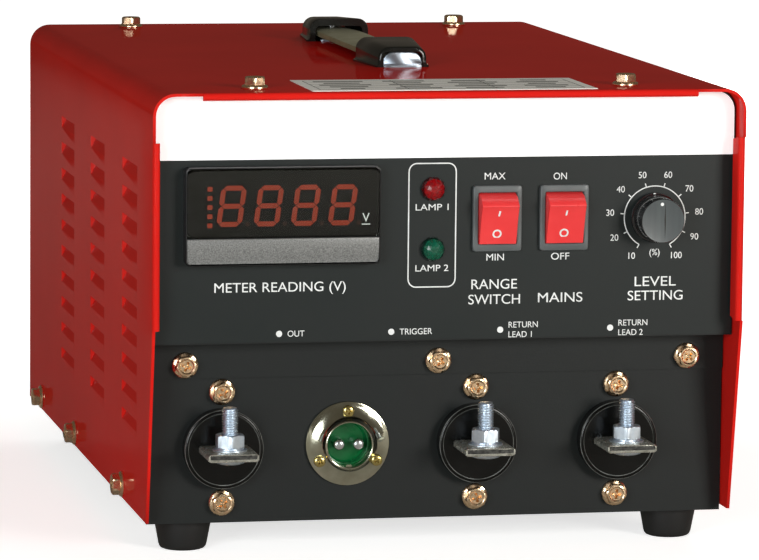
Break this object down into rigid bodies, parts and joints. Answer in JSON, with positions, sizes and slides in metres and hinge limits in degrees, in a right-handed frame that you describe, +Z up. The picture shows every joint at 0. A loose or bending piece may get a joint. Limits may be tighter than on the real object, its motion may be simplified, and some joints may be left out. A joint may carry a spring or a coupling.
{
  "type": "capacitor-discharge stud welder",
  "caption": "Bench-top stud welding machine: louvred red steel case with a strap handle, digital meter, lamps, rocker switches, charge knob, bolt terminals and a round gun socket.",
  "frame": {"origin": "centre of the bounding box, on the plane that the feet stand on", "axes": "+X to the right as seen from the front, +Y to the rear, +Z up; the control panel faces -Y"},
  "size_m": [0.3062, 0.445, 0.2425],
  "materials": {
    "red_paint": "gloss powder coat",
    "black_paint": "satin powder coat",
    "bare_sheet": "zinc plated sheet",
    "overlay_print": "fine textured film",
    "black_rubber": "matte",
    "black_gloss": "gloss moulding",
    "black_matte": "fine moulding texture",
    "grey_trim": "satin metallic film",
    "smoked_window": "polished",
    "display_board": "matte",
    "red_lens": "faceted",
    "green_lens": "faceted",
    "red_plastic": "gloss moulding",
    "green_plastic": "satin moulding",
    "bright_bracket": "bright plated",
    "silver_plate": "satin",
    "yellow_zinc": "yellow zinc plated",
    "bright_zinc": "bright zinc plated",
    "tinned_copper": "tinned",
    "copper": "plain",
    "chrome_shell": "polished",
    "brass_screw": "plain",
    "cap_sleeve": "shrink sleeve",
    "insulating_board": "laminate",
    "sink_aluminium": "extruded",
    "ceramic": "glazed",
    "core_steel": "varnished laminations",
    "winding_copper": "enamelled and taped",
    "circuit_board": "solder resist"
  },
  "bodies": {
    "case": {"cover": "red_paint", "base_pan": "bare_sheet", "feet": "black_rubber", "data_plate": "silver_plate", "handle_caps": "black_gloss", "handle_brackets": "bright_bracket", "upper_panel": "black_paint", "overlay": "overlay_print", "meter_body": "black_matte", "meter_window": "smoked_window", "meter_trim": "grey_trim", "meter_display": "display_board", "red_lens": "red_lens", "green_lens": "green_lens", "lamp_bodies": "black_matte", "high_low_switch": "black_gloss", "power_switch": "black_gloss", "pot_body": "bright_zinc", "lower_panel": "black_paint", "flange_screws": "yellow_zinc", "small_screws": "bright_zinc", "terminal_bushings": "black_gloss", "terminal_bars": "tinned_copper", "terminal_studs": "bright_zinc", "socket_shell": "chrome_shell", "socket_screws": "brass_screw", "socket_insert": "green_plastic", "socket_pins": "bright_zinc", "rear_panel": "black_paint", "fan_frame": "black_matte", "mains_inlet": "black_matte", "insulating_boards": "insulating_board", "capacitor_clamp": "insulating_board", "capacitors": "cap_sleeve", "bank_fasteners": "bright_zinc", "positive_bus": "copper", "negative_bus": "copper", "heat_sink": "sink_aluminium", "thyristor": "ceramic", "thyristor_clamp": "bright_zinc", "transformer_core": "core_steel", "transformer_winding": "winding_copper", "charging_resistor": "ceramic", "resistor_stand": "bare_sheet", "bridge_rectifier": "black_matte", "divider_plate": "bare_sheet", "control_board": "circuit_board"},
    "handle_strap": {"handle_strap": "black_rubber"},
    "high_low_rocker": {"high_low_rocker": "red_plastic"},
    "power_rocker": {"power_rocker": "red_plastic"},
    "charge_knob": {"charge_knob": "black_gloss", "pot_shaft": "bright_zinc"},
    "gun_washer": {"gun_washer": "bright_zinc"},
    "gun_nut": {"gun_nut": "bright_zinc"},
    "base_1_washer": {"base_1_washer": "bright_zinc"},
    "base_1_nut": {"base_1_nut": "bright_zinc"},
    "base_2_washer": {"base_2_washer": "bright_zinc"},
    "base_2_nut": {"base_2_nut": "bright_zinc"},
    "fan_rotor": {"fan_rotor": "black_matte"}
  },
  "joints": [
    {"name": "strap_lift", "type": "slide", "parent": "case", "child": "handle_strap", "axis": [0, 0, 1], "range_m": [0, 0.0016]},
    {"name": "high_low_rock", "type": "hinge", "parent": "case", "child": "high_low_rocker", "pos_m": [0.025, -0.2039, 0.1664], "axis": [-1, 0, 0], "range_deg": [0, 36]},
    {"name": "power_rock", "type": "hinge", "parent": "case", "child": "power_rocker", "pos_m": [0.0587, -0.2039, 0.1664], "axis": [-1, 0, 0], "range_deg": [0, 36]},
    {"name": "charge_turn", "type": "hinge", "parent": "case", "child": "charge_knob", "pos_m": [0.105, -0.2125, 0.1657], "axis": [0, 1, 0], "range_deg": [-150, 150]},
    {"name": "fan_spin", "type": "hinge", "parent": "case", "child": "fan_rotor", "pos_m": [-0.07, 0.19, 0.127], "axis": [0, 1, 0], "continuous": true},
    {"name": "gun_washer_lift", "type": "slide", "parent": "case", "child": "gun_washer", "axis": [0, 0, 1], "range_m": [0, 0.008]},
    {"name": "gun_nut_turn", "type": "hinge", "parent": "gun_washer", "child": "gun_nut", "pos_m": [-0.108, -0.2105, 0.06], "axis": [0, 0, 1], "range_deg": [0, 2305]},
    {"name": "base_1_washer_lift", "type": "slide", "parent": "case", "child": "base_1_washer", "axis": [0, 0, 1], "range_m": [0, 0.008]},
    {"name": "base_1_nut_turn", "type": "hinge", "parent": "base_1_washer", "child": "base_1_nut", "pos_m": [0.0195, -0.2105, 0.06], "axis": [0, 0, 1], "range_deg": [0, 2305]},
    {"name": "base_2_washer_lift", "type": "slide", "parent": "case", "child": "base_2_washer", "axis": [0, 0, 1], "range_m": [0, 0.008]},
    {"name": "base_2_nut_turn", "type": "hinge", "parent": "base_2_washer", "child": "base_2_nut", "pos_m": [0.091, -0.2105, 0.06], "axis": [0, 0, 1], "range_deg": [0, 2305]}
  ],
  "couplings": [
    {"joint": "gun_nut_turn", "follows": "gun_washer_lift", "rad_per_m": 5026.5},
    {"joint": "base_1_nut_turn", "follows": "base_1_washer_lift", "rad_per_m": 5026.5},
    {"joint": "base_2_nut_turn", "follows": "base_2_washer_lift", "rad_per_m": 5026.5}
  ]
}
